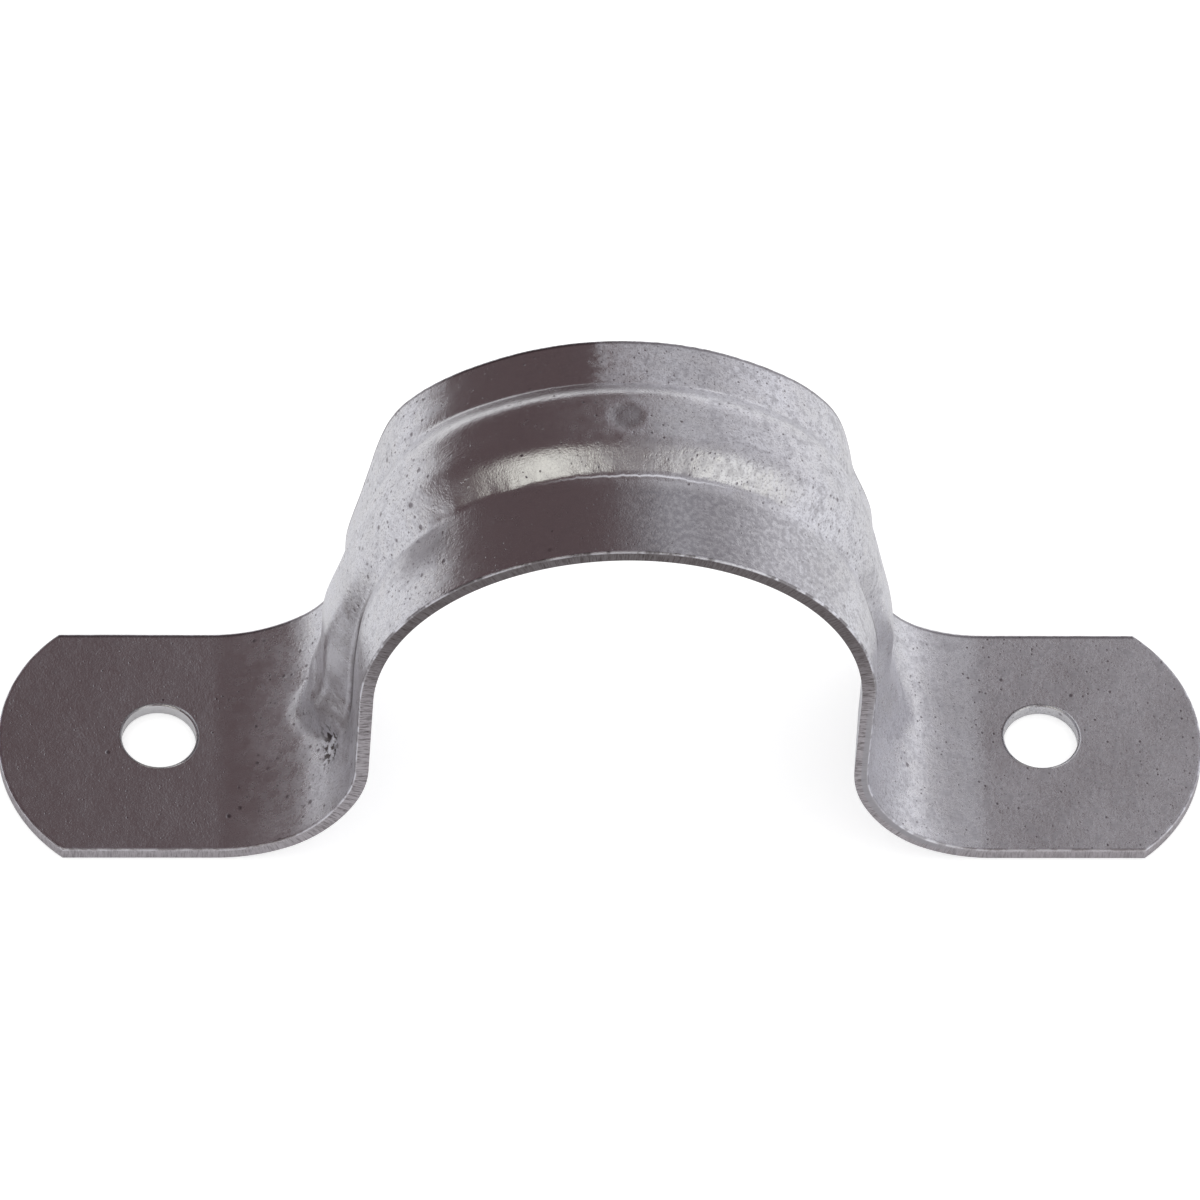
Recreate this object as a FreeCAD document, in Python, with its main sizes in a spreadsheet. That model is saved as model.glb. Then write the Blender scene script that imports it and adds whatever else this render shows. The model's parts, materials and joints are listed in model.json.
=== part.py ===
"""Two-hole conduit strap: one strip of galvanised sheet formed over a conduit, with a stiffening rib.

Frame: +Z away from the wall, X along the strip, Y along the conduit. The origin is on the wall, midway
between the two feet. The strip is drawn as it is formed: a foot, a knee, a leg and half of the saddle
are built for the +X side, each from the same cross-section of the sheet, and mirrored across the YZ plane.
"""

import FreeCAD, Part

import Sketcher

import math
import os

os.makedirs("parts", exist_ok=True)

SIZES = [
    ("saddle_radius", 21.1, "inside radius of the saddle, for conduit of 42.2 mm outside diameter"),
    ("saddle_height", 23.3, "height of the saddle's axis above the wall"),
    ("saddle_width", 22.4, "width of the strip over the saddle, drawn in by the rib"),
    ("sheet", 1.25, "thickness of the sheet"),
    ("knee_radius", 11.6, "radius of the hollow side of the knee between leg and foot"),
    ("foot_width", 23.0, "width of the strip at the feet"),
    ("foot_length", 18.85, "flat length of a foot, from the end of the knee to its tip"),
    ("tip_radius", 14.8, "radius of the cropped end of a foot"),
    ("hole_diameter", 6.5, "screw hole, clearance for a quarter-inch screw"),
    ("hole_setback", 14.1, "distance from the tip of a foot to the middle of its hole"),
    ("hole_shift", 0.6, "how far the holes were punched behind the middle of the strip"),
    ("rib_root_width", 9.8, "width of the rib where its flanks leave the flanges"),
    ("rib_crest_width", 4.8, "width of the flat crest of the rib"),
    ("rib_height", 2.0, "height of the crest above the flanges"),
    ("rib_shift", 1.8, "how far the rib lies behind the middle of the strip"),
    ("rib_crest_radius", 2.0, "outside bend radius between the crest and a flank"),
    ("rib_root_radius", 1.0, "outside bend radius between a flank and a flange"),
    ("rib_fade_start", 22.0, "angle round the knee at which the rib begins to die away"),
    ("rib_fade_angle", 60.0, "angle round the knee at which the rib has died away"),
    ("edge_break", 0.2, "bevel that the shear leaves along the upper edges"),
    ("hole_break", 0.3, "bevel that the punch leaves round the upper rim of a hole"),
    ("mark_radius", 1.4, "radius of the round pin mark on top of the rib"),
    ("mark_depth", 0.12, "depth of the pin mark"),
]
FADE_STEPS = 4
QUARTER = 90.0
CUT_REACH = 5.0
TOUCH = 1e-6

doc = FreeCAD.newDocument("conduit_strap")
sheet = doc.addObject("Spreadsheet::Sheet", "sizes")
for row, (alias, value, meaning) in enumerate(SIZES, start=1):
    sheet.set(f"A{row}", meaning)
    sheet.set(f"B{row}", str(value))
    sheet.setAlias(f"B{row}", alias)
doc.recompute()
size = {alias: float(sheet.get(alias)) for alias, _, _ in SIZES}

SADDLE_OUTSIDE = size["saddle_radius"] + size["sheet"]
KNEE_X = SADDLE_OUTSIDE + size["knee_radius"]
KNEE_Z = size["sheet"] + size["knee_radius"]
TIP_X = KNEE_X + size["foot_length"]
FLANK_RUN = (size["rib_root_width"] - size["rib_crest_width"]) / 2
FLANK_TURN = math.atan2(size["rib_height"], FLANK_RUN)

strap = doc.addObject("PartDesign::Body", "strap")
strap.Label = "strap"
planes = {plane.Role: plane for plane in strap.Origin.OriginFeatures}


def new_sketch(name, plane="XY_Plane", origin=(0, 0, 0), turn=0.0):
    """A sketch on an origin plane of the body, moved to origin and turned about its own Y axis."""
    made = strap.newObject("Sketcher::SketchObject", name)
    made.AttachmentSupport = (planes[plane], [""])
    made.MapMode = "FlatFace"
    made.AttachmentOffset = FreeCAD.Placement(
        FreeCAD.Vector(*origin), FreeCAD.Rotation(FreeCAD.Vector(0, 1, 0), turn)
    )
    return made


def feature(kind, name, **settings):
    """A PartDesign feature of the body; settings that are text starting with '=' are expressions."""
    made = strap.newObject("PartDesign::" + kind, name)
    for key, value in settings.items():
        if isinstance(value, str) and value.startswith("="):
            made.setExpression(key, value[1:])
        else:
            setattr(made, key, value)
    doc.recompute()
    return made


def line(start, end):
    return Part.LineSegment(FreeCAD.Vector(*start, 0), FreeCAD.Vector(*end, 0))


def bend(enter, corner, leave):
    """The arc tangent to both legs of a corner, or a straight run where there is no corner."""
    middle = (enter + leave) / 2
    rise = corner.distanceToPoint(middle)
    if rise < TOUCH:
        return Part.LineSegment(enter, leave)
    half_chord = enter.distanceToPoint(middle)
    share = (math.hypot(half_chord, rise) - half_chord) / rise * half_chord / rise
    return Part.Arc(enter, middle + (corner - middle) * share, leave)


def bent_line(corners, bends):
    """The straight runs and the bends of a line through corners; bends holds each tangent length."""
    points = [FreeCAD.Vector(*corner, 0) for corner in corners]
    pieces = []
    start = points[0]
    for before, corner, after, length in zip(points, points[1:], points[2:], bends):
        enter = corner + (before - corner).normalize() * length
        leave = corner + (after - corner).normalize() * length
        pieces += [Part.LineSegment(start, enter), bend(enter, corner, leave)]
        start = leave
    return pieces + [Part.LineSegment(start, points[-1])]


def draw_section(sketch, width, height, base=0.0):
    """The sheet's cross-section: X is the height above the plain outer face, Y runs across the strip.

    height is the rib's height there. The inner face is parallel to the outer one, a sheet's
    thickness away, so its bend radii and its corners follow from the outer ones.
    """
    half = width / 2
    bevel = size["edge_break"]
    middle = size["rib_shift"]
    root = size["rib_root_width"] / 2
    crest = size["rib_crest_width"] / 2
    thick = size["sheet"]
    slope = math.atan2(height, FLANK_RUN)
    narrowing = thick * math.tan(slope / 2)
    full = math.tan(FLANK_TURN / 2)
    outer_bends = [size["rib_root_radius"] * full, size["rib_crest_radius"] * full]
    inner_bends = [outer_bends[0] + thick * full, max(outer_bends[1] - thick * full, bevel)]

    def rib_line(level, inset, bends, reach):
        corners = [
            (base + level, -reach),
            (base + level, middle - root + inset),
            (base + level + height, middle - crest + inset),
            (base + level + height, middle + crest - inset),
            (base + level, middle + root - inset),
            (base + level, reach),
        ]
        return bent_line(corners, bends + bends[::-1])

    sketch.addGeometry(
        [
            *rib_line(0.0, 0.0, outer_bends, half - bevel),
            line((base, half - bevel), (base - bevel, half)),
            line((base - bevel, half), (base - thick, half)),
            *rib_line(-thick, narrowing, inner_bends, half),
            line((base - thick, -half), (base - bevel, -half)),
            line((base - bevel, -half), (base, -half + bevel)),
        ],
        False,
    )


def edges_at(shape, test):
    """Names of the edges of shape whose bounding box passes test."""
    return [f"Edge{n}" for n, edge in enumerate(shape.Edges, start=1) if test(edge.BoundBox)]


def faded(angle):
    """How far the rib has died away at an angle round the knee, easing from 0 to 1."""
    span = size["rib_fade_angle"] - size["rib_fade_start"]
    share = min(max((angle - size["rib_fade_start"]) / span, 0.0), 1.0)
    return share * share * (3 - 2 * share)


def rib_height_at(angle):
    """The rib runs at full height into the knee and then dies away."""
    return size["rib_height"] * (1 - faded(angle))


def width_at(angle):
    """The strip widens to the foot while the rib dies away."""
    return size["saddle_width"] + (size["foot_width"] - size["saddle_width"]) * faded(angle)


def make_foot():
    """The flat foot, with its cropped end, its sheared edges and its punched hole."""
    outline = new_sketch("foot_outline")
    half = size["foot_width"] / 2
    tip_centre = TIP_X - size["tip_radius"]
    swing = math.asin(min(half / size["tip_radius"], 1.0))
    corner_x = tip_centre + size["tip_radius"] * math.cos(swing)
    tip = Part.Circle(FreeCAD.Vector(tip_centre, 0, 0), FreeCAD.Vector(0, 0, 1), size["tip_radius"])
    outline.addGeometry(
        [
            line((KNEE_X, half), (KNEE_X, -half)),
            line((KNEE_X, -half), (corner_x, -half)),
            Part.ArcOfCircle(tip, -swing, swing),
            line((corner_x, half), (KNEE_X, half)),
        ],
        False,
    )
    pad = feature("Pad", "foot", Profile=outline, Length="=sizes.sheet")
    outline.Visibility = False

    def is_sheared(box):
        on_top = box.ZMin > size["sheet"] - TOUCH
        return on_top and box.XMax > KNEE_X + TOUCH

    feature(
        "Chamfer", "foot_edge_break", Base=(pad, edges_at(pad.Shape, is_sheared)), Size="=sizes.edge_break"
    )
    hole_sketch = new_sketch("screw_hole_circle")
    centre = FreeCAD.Vector(TIP_X - size["hole_setback"], size["hole_shift"], 0)
    circle = Part.Circle(centre, FreeCAD.Vector(0, 0, 1), size["hole_diameter"] / 2)
    ring = hole_sketch.addGeometry(circle, False)
    hole_sketch.addConstraint(Sketcher.Constraint("Diameter", ring, size["hole_diameter"]))
    hole_sketch.setExpression("Constraints[0]", "sizes.hole_diameter")
    hole = feature("Pocket", "screw_hole", Profile=hole_sketch, Type="ThroughAll", Midplane=True)

    def is_rim(box):
        on_top = box.ZMin > size["sheet"] - TOUCH
        return on_top and abs(box.XLength - size["hole_diameter"]) < TOUCH

    feature(
        "Chamfer", "screw_hole_break", Base=(hole, edges_at(hole.Shape, is_rim)), Size="=sizes.hole_break"
    )


def make_knee():
    """The plain end of the knee, sections in which the rib dies away, and the start at full rib."""
    centre = (KNEE_X, 0, KNEE_Z)
    start = size["rib_fade_start"]
    plain = new_sketch("plain_knee_section", origin=centre, turn=-size["rib_fade_angle"])
    draw_section(plain, size["foot_width"], 0.0, base=-size["knee_radius"])
    feature(
        "Revolution", "plain_knee", Profile=plain, ReferenceAxis=(plain, ["V_Axis"]),
        Angle=f"={QUARTER} - sizes.rib_fade_angle", Reversed=True,
    )
    sections = []
    for step in range(FADE_STEPS + 1):
        angle = start + (size["rib_fade_angle"] - start) * step / FADE_STEPS
        section = new_sketch(f"knee_section_{step}", origin=centre, turn=-angle)
        draw_section(section, width_at(angle), rib_height_at(angle), base=-size["knee_radius"])
        sections.append(section)
    doc.recompute()
    feature(
        "AdditiveLoft", "fading_knee",
        Profile=sections[-1], Sections=[(section, [""]) for section in reversed(sections[:-1])],
    )
    ribbed = new_sketch("ribbed_knee_section", origin=centre)
    draw_section(ribbed, size["saddle_width"], size["rib_height"], base=-size["knee_radius"])
    doc.recompute()
    feature(
        "Revolution", "ribbed_knee", Profile=ribbed, ReferenceAxis=(ribbed, ["V_Axis"]),
        Angle="=sizes.rib_fade_start", Reversed=True,
    )


def make_leg_and_saddle():
    """The straight leg and a quarter turn of the saddle, both from one ribbed section."""
    section = new_sketch("saddle_section", origin=(0, 0, size["saddle_height"]))
    draw_section(section, size["saddle_width"], size["rib_height"], base=SADDLE_OUTSIDE)
    doc.recompute()
    feature(
        "Pad", "leg", Profile=section, Reversed=True,
        Length="=sizes.saddle_height - sizes.knee_radius - sizes.sheet",
    )
    feature(
        "Revolution", "saddle", Profile=section, ReferenceAxis=(section, ["V_Axis"]),
        Angle=QUARTER, Reversed=True,
    )


def make_pin_mark():
    """The shallow round mark that a pin of the forming tool left on top of the rib."""
    crest = size["saddle_height"] + SADDLE_OUTSIDE + size["rib_height"]
    sketch = new_sketch("pin_mark_circle", origin=(0, 0, crest))
    centre = FreeCAD.Vector(0, size["rib_shift"], 0)
    sketch.addGeometry(Part.Circle(centre, FreeCAD.Vector(0, 0, 1), size["mark_radius"]), False)
    feature("Pocket", "pin_mark", Profile=sketch, Length="=sizes.mark_depth")


make_foot()
make_knee()
make_leg_and_saddle()
mirrored = feature(
    "Mirrored", "other_side", TransformMode="Whole shape", MirrorPlane=(planes["YZ_Plane"], [""])
)
strap.Tip = mirrored
doc.recompute()
make_pin_mark()

for made in doc.Objects:
    if "Invalid" in made.State or "Error" in made.State:
        raise RuntimeError(f"{made.Name} failed to build: {made.State}")
if strap.Shape.isNull() or not strap.Shape.isValid() or len(strap.Shape.Solids) != 1:
    raise RuntimeError("the strap is not one valid solid")
strap.Shape.exportStep("parts/strap.step")
print("strap", round(strap.Shape.Volume, 3), "mm3", strap.Shape.BoundBox)
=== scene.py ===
"""Two-hole conduit strap: a punched blank of galvanised sheet, formed over a conduit with one rib."""

import json
import math

import bpy
import numpy as np
from mathutils import Matrix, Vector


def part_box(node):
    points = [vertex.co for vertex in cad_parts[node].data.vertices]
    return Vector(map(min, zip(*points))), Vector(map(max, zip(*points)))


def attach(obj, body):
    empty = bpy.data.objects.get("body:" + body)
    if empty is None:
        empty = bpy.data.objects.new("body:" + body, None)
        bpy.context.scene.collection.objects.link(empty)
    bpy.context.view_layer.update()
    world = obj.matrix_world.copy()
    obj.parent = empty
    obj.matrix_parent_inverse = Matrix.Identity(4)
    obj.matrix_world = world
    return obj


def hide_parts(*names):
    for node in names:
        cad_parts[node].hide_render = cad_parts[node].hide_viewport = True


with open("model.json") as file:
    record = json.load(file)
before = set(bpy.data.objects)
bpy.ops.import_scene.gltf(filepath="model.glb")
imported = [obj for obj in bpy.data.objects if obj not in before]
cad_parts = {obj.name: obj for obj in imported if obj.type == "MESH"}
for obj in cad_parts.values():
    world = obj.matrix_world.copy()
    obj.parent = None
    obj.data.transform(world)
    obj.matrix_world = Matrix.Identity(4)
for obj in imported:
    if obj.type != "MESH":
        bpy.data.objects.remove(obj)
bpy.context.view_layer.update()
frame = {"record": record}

bl_info = {
    "name": "Conduit Strap",
    "version": (1, 0, 0),
    "blender": (4, 5, 0),
    "location": "3D View > Sidebar > Strap",
    "description": "Punches a blank of galvanised sheet, forms it into a conduit strap and stages it",
    "category": "Object",
}

MM = 0.001
NODE = "strap"
MOUNTS = {mount["name"]: mount for mount in frame["record"]["mounts"]}
SADDLE = MOUNTS["conduit_saddle"]
SCREWS = MOUNTS["screw_holes"]
NODE_LOW, NODE_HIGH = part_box(NODE)

SADDLE_RADIUS = SADDLE["dims"]["r_mm"] * MM
SADDLE_HEIGHT = SADDLE["pos_m"][2]
SADDLE_WIDTH = SADDLE["dims"]["length_mm"] * MM
HOLE_RADIUS = SCREWS["dims"]["hole_r_mm"] * MM
HOLE_REACH = SCREWS["dims"]["spacing_x_mm"] * MM / 2
HOLE_SHIFT = SCREWS["pos_m"][1]
FOOT_WIDTH = NODE_HIGH[1] - NODE_LOW[1]
TIP_REACH = NODE_HIGH[0]

# Lengths of the blank's mesh and of what the shear leaves, in metres.
BURR = 0.06 * MM
PAD_START = 11.0 * MM
CREASE_REACH = 0.9 * MM
EDGE_SUPPORT = 0.14 * MM
EDGE_CLEAR = 0.3 * MM
ROW_STRETCH = 0.86
RAY_STEPS = 25
RAY_SUPPORT = 0.014

# Depths that the press leaves on the outer face, in metres.
RIDGE_HEIGHT = 0.15 * MM
WAVER_SIZE = 0.75 * MM
CRUMPLE_DEPTH = 0.32 * MM
UNEVEN_DEPTH = 0.035 * MM
DENT_DEPTH = 0.005 * MM
SHOULDER_RISE = 0.25 * MM
ROOT_SPREAD = 1.3 * MM

# Places on the flat blank, in millimetres, and the share of its width that the saddle keeps.
CRUMPLE_ALONG = -51.9
CRUMPLE_ACROSS = -4.4
MARK_ACROSS = 1.85
ROOT_ACROSS = -3.1
ROOT_LINE_ACROSS = -3.22
WIDTH_KEPT = 0.974

CAMERA_TURN = {"azimuth": -5.86, "elevation": 54.63, "roll": 4.86}
CAMERA_DISTANCE = 1.575
CAMERA_TARGET = (0.00051, 0.01607, 0.0)
CAMERA_LENS = 536.0
CAMERA_SENSOR = 36.0

# Ceiling softboxes: left side, right side and radiance.
SOFTBOXES = ((0.002, 0.05, 0.085), (0.05, 0.19, 0.215))
SOFTBOX_DEPTH = 0.55
SOFTBOX_PLACE = (0.33, 0.32)
SOFTBOX_COLOUR = (0.93, 1.0, 1.03)

WALL_TONE = (0.88, 0.88, 0.90)
CEILING_LEFT = (0.124, 0.090, 0.094)
CEILING_RIGHT = (0.39, 0.375, 0.39)
RIGHT_WALL_TONE = (1.02, 1.02, 1.04)
WINDOW_TONE = (1.14, 1.14, 1.04)
WINDOWS = ((-0.40, -0.65, 0.645), (0.62, -0.60, 0.51))

FLOOR_REACH = 4.0
FLOOR_DROP = 0.0001
FLOOR_SEEN = 0.55
FLOOR_MIRRORED = 0.16


def length(name, description, default):
    return bpy.props.FloatProperty(
        name=name, description=description, default=default, min=0.0, subtype="DISTANCE", unit="LENGTH"
    )


def turn(name, description, degrees):
    return bpy.props.FloatProperty(
        name=name, description=description, default=math.radians(degrees), min=0.0, max=math.pi / 2,
        subtype="ANGLE", unit="ROTATION",
    )


def share(name, description, default, top=1.0):
    return bpy.props.FloatProperty(name=name, description=description, default=default, min=0.0, max=top)


def tone(name, description, default):
    return bpy.props.FloatVectorProperty(
        name=name, description=description, default=default, size=3, subtype="COLOR", min=0.0, max=1.0
    )


class StrapSizes(bpy.types.PropertyGroup):
    """Sizes of the blank and of the form it is pressed to"""

    sheet: length("Sheet", "Thickness of the sheet", 1.25 * MM)
    saddle_radius: length("Saddle Radius", "Inside radius of the saddle", SADDLE_RADIUS)
    saddle_height: length("Saddle Height", "Height of the saddle's axis above the wall", SADDLE_HEIGHT)
    saddle_width: length("Saddle Width", "Width of the strip over the saddle", SADDLE_WIDTH)
    foot_width: length("Foot Width", "Width of the strip at its feet", FOOT_WIDTH)
    tip_reach: length("Tip Reach", "Distance from the middle plane to the tip of a foot", TIP_REACH)
    tip_radius: length("Tip Radius", "Radius of the cropped end of a foot", 14.8 * MM)
    knee_radius: length("Knee Radius", "Radius of the hollow side of a knee", 11.6 * MM)
    hole_radius: length("Hole Radius", "Radius of a screw hole", HOLE_RADIUS)
    hole_reach: length("Hole Reach", "Distance from the middle plane to a screw hole", HOLE_REACH)
    hole_shift: length("Hole Shift", "How far the holes lie behind the middle of the strip", HOLE_SHIFT)
    rib_root: length("Rib Root Width", "Width of the rib between its creases", 9.8 * MM)
    rib_crest: length("Rib Crest Width", "Width of the crest of the rib", 4.8 * MM)
    rib_height: length("Rib Height", "Height of the crest above the flanges", 2.0 * MM)
    rib_shift: length("Rib Shift", "How far the rib lies behind the middle of the strip", 1.8 * MM)
    rib_fade_start: turn("Rib Fade Start", "Angle round the knee at which the rib begins to die away", 22.0)
    rib_fade_end: turn("Rib Fade End", "Angle round the knee at which the rib has died away", 60.0)
    pinch: length("Pinch", "How far the sides of the saddle were drawn in, behind the rib", 1.0 * MM)
    splay: length("Splay", "How far the legs were pushed out, away from their front edges", 0.85 * MM)
    edge_break: length("Edge Break", "Rolled-over edge that the shear leaves on the upper side", 0.2 * MM)
    rim_break: length("Rim Break", "Rolled-over rim that the punch leaves round a hole", 0.16 * MM)
    mark_radius: length("Pin Mark Radius", "Radius of the forming pin's mark on the crest", 1.4 * MM)
    mark_depth: length("Pin Mark Depth", "Depth of the forming pin's mark", 0.12 * MM)
    grain: length("Mesh Grain", "Spacing of the blank's mesh on its faces", 0.42 * MM)
    fine_grain: length("Crease Grain", "Spacing of the blank's mesh along the creases", 0.22 * MM)


class StrapFinish(bpy.types.PropertyGroup):
    """Colours of the zinc and of the sheared steel, some also used for painted highlights and painted shade
    """

    zinc: tone("Zinc", "Bright zinc coat", (0.68, 0.67, 0.69))
    # Also the colour of painted highlights and of the painted sheen on the paler side.
    bloom_and_painted_sheen: tone("Bloom", "Pale bloom on the zinc", (0.80, 0.80, 0.86))
    # Also the colour of the painted shade over the right of the front flange.
    dull: tone("Dull Zinc", "Grey, duller patches of zinc", (0.40, 0.39, 0.42))
    # Also the colour of painted shade: the dark patch in front of the rib and the dark line in the legs'
    # creases.
    speck_and_shade: tone("Speck", "Dark pits in the zinc", (0.20, 0.18, 0.20))
    # Also the colour of the painted shade in the crumpled spot.
    sheared: tone("Sheared Steel", "Torn steel of the sheared edges", (0.085, 0.070, 0.070))
    smear: tone("Smeared Zinc", "Zinc smeared down the sheared edges", (0.50, 0.47, 0.50))
    roughness: share("Zinc Roughness", "Roughness of the zinc coat", 0.28)
    floor: tone("Floor", "Studio floor", (0.70, 0.70, 0.70))


# ---------------------------------------------------------------------------------------------- blank


def arch_length(sizes):
    return (sizes.saddle_radius + sizes.sheet) * math.pi / 2


def leg_length(sizes):
    return sizes.saddle_height - sizes.sheet - sizes.knee_radius


def knee_length(sizes):
    return sizes.knee_radius * math.pi / 2


def foot_start(sizes):
    """Distance along the blank from its middle to the flat of a foot."""
    return arch_length(sizes) + leg_length(sizes) + knee_length(sizes)


def knee_reach(sizes):
    """Distance from the middle plane to the end of a knee."""
    return sizes.saddle_radius + sizes.sheet + sizes.knee_radius


def along_blank(sizes, reach):
    """Distance along the blank of a point of a foot that lies at reach from the middle plane."""
    return foot_start(sizes) + reach - knee_reach(sizes)


def crease_lines(sizes):
    middle = sizes.rib_shift
    root = sizes.rib_root / 2
    crest = sizes.rib_crest / 2
    return [middle - root, middle - crest, middle + crest, middle + root]


def column_shares(sizes):
    """Where the blank's long mesh lines lie across it, from -1 to 1, closer together at the creases."""
    half = sizes.foot_width / 2
    creases = crease_lines(sizes)
    places = [-half]
    while places[-1] < half:
        near = min(abs(places[-1] - crease) for crease in creases)
        step = sizes.fine_grain if near < CREASE_REACH else sizes.grain
        places.append(places[-1] + step)
    places = np.array(places)
    places = (places - places[0]) / (places[-1] - places[0]) * 2 - 1
    clear = EDGE_CLEAR / half
    inner = places[(places > -1 + clear) & (places < 1 - clear)]
    near_edge = EDGE_SUPPORT / half
    return np.concatenate([[-1, -1 + near_edge], inner, [1 - near_edge, 1]])


def pad_outline(sizes, side, columns, inset, start):
    """One end of the blank's outline, inset evenly, from one end of its cross line to the other."""
    half = sizes.foot_width / 2 - inset
    radius = sizes.tip_radius - inset
    centre = along_blank(sizes, sizes.tip_reach) - sizes.tip_radius
    swing = math.asin(half / radius)
    full_swing = math.asin(sizes.foot_width / 2 / sizes.tip_radius)
    corner = centre + sizes.tip_radius * math.cos(full_swing)
    corner_inset = centre + radius * math.cos(swing)
    straight = max(int((corner - start) / sizes.grain), 4)
    around = max(int(2 * full_swing * sizes.tip_radius / sizes.grain), 8)
    run = np.linspace(start, corner_inset, straight + 1)
    angles = np.linspace(swing, -swing, around + 1)
    cross = np.stack([np.full(len(columns), start), columns * half], 1)
    up = np.stack([run[1:], np.full(straight, half)], 1)
    tip = np.stack([centre + radius * np.cos(angles), radius * np.sin(angles)], 1)[1:-1]
    down = np.stack([run[::-1], np.full(straight + 1, -half)], 1)[:-1]
    loop = np.concatenate([cross, up, tip, down])
    loop[:, 0] *= side
    return loop


def face_points(sizes, columns, rows, edge_inset, rim_inset):
    """Every point of one face of the blank: the strip's grid, then the two pads' rays."""
    half = sizes.foot_width / 2 - edge_inset
    grid = np.stack(np.meshgrid(rows, columns * half, indexing="ij"), -1).reshape(-1, 2)
    points = [grid]
    steps = np.linspace(0.0, 1.0, RAY_STEPS)[1:-1]
    steps = np.concatenate([[0.0, RAY_SUPPORT], steps, [1.0 - RAY_SUPPORT, 1.0]])
    for side in (-1, 1):
        loop = pad_outline(sizes, side, columns, edge_inset, rows[-1])
        centre = np.array([side * along_blank(sizes, sizes.hole_reach), sizes.hole_shift])
        spoke = loop - centre
        spoke /= np.linalg.norm(spoke, axis=1)[:, None]
        rim = centre + spoke * (sizes.hole_radius + rim_inset)
        rays = rim[:, None, :] + (loop - rim)[:, None, :] * steps[None, :, None]
        points.append(rays[:, :-1].reshape(-1, 2))
        points.append(loop[len(columns) :])
    return np.concatenate(points), len(steps)


def blank_layout(sizes):
    """Columns and rows of the blank's mesh."""
    columns = column_shares(sizes)
    start = along_blank(sizes, sizes.hole_reach) - PAD_START
    count = int(2 * start / (sizes.grain * ROW_STRETCH))
    return columns, np.linspace(-start, start, count + 1)


def face_topology(columns, rows, steps, loop_size):
    """Quads of one face, its outline as a loop of indices, and the two hole rims as loops."""
    wide = len(columns)
    quads = []
    for i in range(len(rows) - 1):
        for j in range(wide - 1):
            a = i * wide + j
            quads.append((a, a + wide, a + wide + 1, a + 1))
    offset = len(rows) * wide
    rims = []
    edges = []
    for side in (-1, 1):
        row = 0 if side < 0 else len(rows) - 1
        inner = offset
        outer = offset + loop_size * (steps - 1)
        last = [row * wide + j for j in range(wide)] + [outer + k for k in range(loop_size - wide)]

        def at(ray, step):
            ray %= loop_size
            if step == steps - 1:
                return last[ray]
            return inner + ray * (steps - 1) + step

        for ray in range(loop_size):
            for step in range(steps - 1):
                quad = (at(ray, step), at(ray, step + 1), at(ray + 1, step + 1), at(ray + 1, step))
                quads.append(quad if side < 0 else quad[::-1])
        rim = [at(ray, 0) for ray in range(loop_size)]
        rims.append(rim if side < 0 else rim[::-1])
        edges.append([last[ray] for ray in range(wide, loop_size)])
        offset = outer + loop_size - wide
    left, right = edges
    front = [i * wide for i in range(len(rows))]
    back = [i * wide + wide - 1 for i in range(len(rows))]
    outline = front + right[::-1] + back[::-1] + left
    return quads, outline, rims, offset


def wall_profile(sizes, edge):
    """Steps down a sheared wall: (share of the way out, from which face, depth)."""
    bends = [math.radians(30), math.radians(60), math.radians(90)]
    upper = [("upper", math.sin(b), edge * (1 - math.cos(b))) for b in bends]
    lower = [("lower", math.sin(b), sizes.sheet - BURR * (1 - math.cos(b))) for b in bends]
    middle = [("upper", 1.0, sizes.sheet * part) for part in (0.36, 0.55, 0.75)]
    return upper + middle + lower[::-1]


def make_blank(sizes):
    """The flat blank: X along the strip, Y across it and Z up from its upper face, holes punched."""
    columns, rows = blank_layout(sizes)
    upper, steps = face_points(sizes, columns, rows, sizes.edge_break, sizes.rim_break)
    lower, _ = face_points(sizes, columns, rows, BURR, BURR)
    true, _ = face_points(sizes, columns, rows, 0.0, 0.0)
    loop_size = len(pad_outline(sizes, 1, columns, 0.0, rows[-1]))
    quads, outline, rims, count = face_topology(columns, rows, steps, loop_size)
    if count != len(upper):
        raise RuntimeError("the blank's points and faces don't match")

    underside = np.column_stack([lower, np.full(count, -sizes.sheet)])
    points = [np.column_stack([upper, np.zeros(count)]), underside]
    faces = quads + [tuple(count + k for k in quad[::-1]) for quad in quads]
    plain = len(faces)
    total = 2 * count
    # Only the outline's wall is sheared steel, in one band for each step of its profile and one more.
    bands = len(wall_profile(sizes, sizes.edge_break)) + 1
    walls = plain + len(outline) * bands
    for loop, edge in ((outline, sizes.edge_break), *((rim, sizes.rim_break) for rim in rims)):
        loop = np.array(loop)
        levels = [loop]
        for origin, out, depth in wall_profile(sizes, edge):
            base = upper[loop] if origin == "upper" else lower[loop]
            place = base + (true[loop] - base) * out
            points.append(np.column_stack([place, np.full(len(loop), -depth)]))
            levels.append(total + np.arange(len(loop)))
            total += len(loop)
        levels.append(loop + count)
        for high, low in zip(levels, levels[1:]):
            for k in range(len(loop)):
                n = (k + 1) % len(loop)
                faces.append((int(high[k]), int(low[k]), int(low[n]), int(high[n])))
    points = np.concatenate(points)

    mesh = bpy.data.meshes.new("strap_blank")
    mesh.from_pydata(points.tolist(), [], faces)
    mesh.polygons.foreach_set("use_smooth", np.ones(len(faces), bool))
    flat = mesh.attributes.new("blank", "FLOAT_VECTOR", "POINT")
    flat.data.foreach_set("vector", points.astype(np.float32).ravel())
    sheared = mesh.attributes.new("sheared", "BOOLEAN", "FACE")
    index = np.arange(len(faces))
    sheared.data.foreach_set("value", (index >= plain) & (index < walls))
    mesh.update()
    return mesh


# -------------------------------------------------------------------------------------------- forming


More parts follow.
